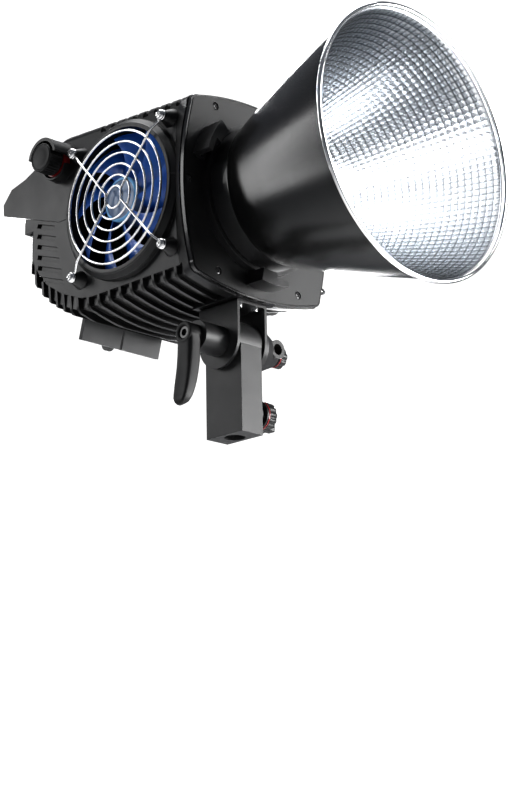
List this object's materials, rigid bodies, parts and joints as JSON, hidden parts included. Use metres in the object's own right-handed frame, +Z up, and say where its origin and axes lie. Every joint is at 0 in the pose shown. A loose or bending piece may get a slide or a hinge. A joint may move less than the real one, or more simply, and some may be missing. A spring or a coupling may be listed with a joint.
{
  "type": "studio monolight head",
  "caption": "Studio light head with a ribbed body, side fans, round bayonet reflector, tilting yoke, lock lever and stand socket.",
  "frame": {"origin": "centre of the stand socket's mouth, at the foot of the stand block", "axes": "+Z up, the light shines towards -Y, +X towards the clamp knobs, the lock lever on the -X side"},
  "size_m": [0.2104, 0.4012, 0.2882],
  "materials": {
    "black_satin": "fine satin black",
    "black_plastic": "matt black",
    "gloss_black": "glossy black",
    "black_anodised": "satin black",
    "bright_reflector": "bright hammered inside, black outside",
    "steel_wire": "bright plated wire",
    "screw_steel": "bright zinc",
    "fan_blue": "deep translucent blue",
    "red_ring": "red",
    "grey_rubber": "grey",
    "sink_aluminium": "mill finish",
    "copper_pipe": "copper coloured",
    "board_green": "solder mask",
    "phosphor": "yellow phosphor",
    "clear_glass": "clear",
    "screen_glass": "dark",
    "washer_fibre": "friction lining"
  },
  "bodies": {
    "stand_mount": {"stand_block": "black_satin", "friction_washers": "washer_fibre"},
    "head": {"upper_shell": "black_plastic", "lower_shell": "black_plastic", "front_plate": "black_plastic", "front_bezel": "gloss_black", "plate_screws": "black_anodised", "side_screw": "screw_steel", "mount_ring": "black_anodised", "mount_claws": "black_anodised", "protective_glass": "clear_glass", "led_module": "phosphor", "led_holder": "sink_aluminium", "heat_spreader": "copper_pipe", "heat_sink_fins": "sink_aluminium", "heat_pipes": "copper_pipe", "driver_board": "board_green", "control_board": "board_green", "fan_frame_left": "black_plastic", "fan_frame_right": "black_plastic", "fan_guard_left": "steel_wire", "fan_guard_right": "steel_wire", "guard_screws_left": "screw_steel", "guard_screws_right": "screw_steel", "control_panel": "gloss_black", "display_window": "screen_glass", "rear_panel": "black_plastic", "rear_screws": "screw_steel", "power_inlet": "black_plastic", "rest_foot_left": "grey_rubber", "rest_foot_right": "grey_rubber", "safety_eye": "black_satin", "dial_left_ring": "red_ring", "dial_right_ring": "red_ring", "yoke_bracket": "black_satin", "yoke_screws": "screw_steel", "tilt_bolt": "screw_steel", "clutch_boss": "black_satin", "umbrella_holder": "black_satin"},
    "lock_lever": {"lock_lever": "black_satin", "lever_screw": "black_anodised"},
    "umbrella_feed": {"umbrella_screw": "screw_steel"},
    "umbrella_knob": {"umbrella_knob": "black_plastic", "umbrella_knob_ring": "red_ring"},
    "clamp_feed": {"clamp_screw": "screw_steel"},
    "clamp_knob": {"clamp_knob": "black_plastic", "clamp_knob_ring": "red_ring"},
    "dial_left": {"dial_left": "gloss_black"},
    "dial_right": {"dial_right": "gloss_black"},
    "fan_rotor_left": {"fan_rotor_left": "fan_blue"},
    "fan_rotor_right": {"fan_rotor_right": "fan_blue"},
    "reflector": {"reflector_collar": "black_anodised", "reflector_shell": "bright_reflector", "reflector_rim": "black_anodised"},
    "latch_button": {"latch_button": "black_plastic"},
    "menu_button": {"menu_button": "black_plastic"},
    "mode_button": {"mode_button": "black_plastic"},
    "back_button": {"back_button": "black_plastic"},
    "power_switch": {"power_switch": "gloss_black"}
  },
  "joints": [
    {"name": "head_tilt", "type": "hinge", "parent": "stand_mount", "child": "head", "pos_m": [0, 0, 0.073], "axis": [1, 0, 0], "range_deg": [-60, 75]},
    {"name": "lock_lever_turn", "type": "hinge", "parent": "head", "child": "lock_lever", "pos_m": [-0.043, 0, 0.073], "axis": [1, 0, 0], "range_deg": [-75, 0]},
    {"name": "umbrella_clamp_feed", "type": "slide", "parent": "head", "child": "umbrella_feed", "axis": [1, 0, 0], "range_m": [-0.0015, 0.0015]},
    {"name": "umbrella_clamp_turn", "type": "hinge", "parent": "umbrella_feed", "child": "umbrella_knob", "pos_m": [0.048, 0, 0.073], "axis": [1, 0, 0], "range_deg": [-540.2, 540.2]},
    {"name": "stand_clamp_feed", "type": "slide", "parent": "stand_mount", "child": "clamp_feed", "axis": [1, 0, 0], "range_m": [-0.0025, 0.0025]},
    {"name": "stand_clamp_turn", "type": "hinge", "parent": "clamp_feed", "child": "clamp_knob", "pos_m": [0.032, 0, 0.0215], "axis": [1, 0, 0], "range_deg": [-720.2, 720.2]},
    {"name": "dial_left_turn", "type": "hinge", "parent": "head", "child": "dial_left", "pos_m": [-0.076, 0.1295, 0.244], "axis": [-1, 0, 0], "continuous": true},
    {"name": "dial_right_turn", "type": "hinge", "parent": "head", "child": "dial_right", "pos_m": [0.076, 0.1295, 0.244], "axis": [1, 0, 0], "continuous": true},
    {"name": "fan_left_spin", "type": "hinge", "parent": "head", "child": "fan_rotor_left", "pos_m": [-0.058, 0.0538, 0.1913], "axis": [-1, 0, 0], "continuous": true},
    {"name": "fan_right_spin", "type": "hinge", "parent": "head", "child": "fan_rotor_right", "pos_m": [0.058, 0.0538, 0.1913], "axis": [1, 0, 0], "continuous": true},
    {"name": "reflector_twist", "type": "hinge", "parent": "head", "child": "reflector", "pos_m": [0, -0.045, 0.183], "axis": [0, 1, 0], "range_deg": [-50, 0]},
    {"name": "latch_press", "type": "slide", "parent": "head", "child": "latch_button", "axis": [0, 1, 0], "range_m": [0, 0.003], "stiffness_N_per_m": 400, "springref_m": -0.002},
    {"name": "menu_press", "type": "slide", "parent": "head", "child": "menu_button", "axis": [0, -0.4044, -0.9146], "range_m": [0, 0.0012], "stiffness_N_per_m": 600, "springref_m": -0.001},
    {"name": "mode_press", "type": "slide", "parent": "head", "child": "mode_button", "axis": [0, -0.4044, -0.9146], "range_m": [0, 0.0012], "stiffness_N_per_m": 600, "springref_m": -0.001},
    {"name": "back_press", "type": "slide", "parent": "head", "child": "back_button", "axis": [0, -0.4044, -0.9146], "range_m": [0, 0.0012], "stiffness_N_per_m": 600, "springref_m": -0.001},
    {"name": "power_switch_rock", "type": "hinge", "parent": "head", "child": "power_switch", "pos_m": [-0.024, 0.1715, 0.191], "axis": [1, 0, 0], "range_deg": [0, 16]}
  ],
  "couplings": [
    {"joint": "umbrella_clamp_turn", "follows": "umbrella_clamp_feed", "rad_per_m": 6283.2},
    {"joint": "stand_clamp_turn", "follows": "stand_clamp_feed", "rad_per_m": 5026.5}
  ]
}
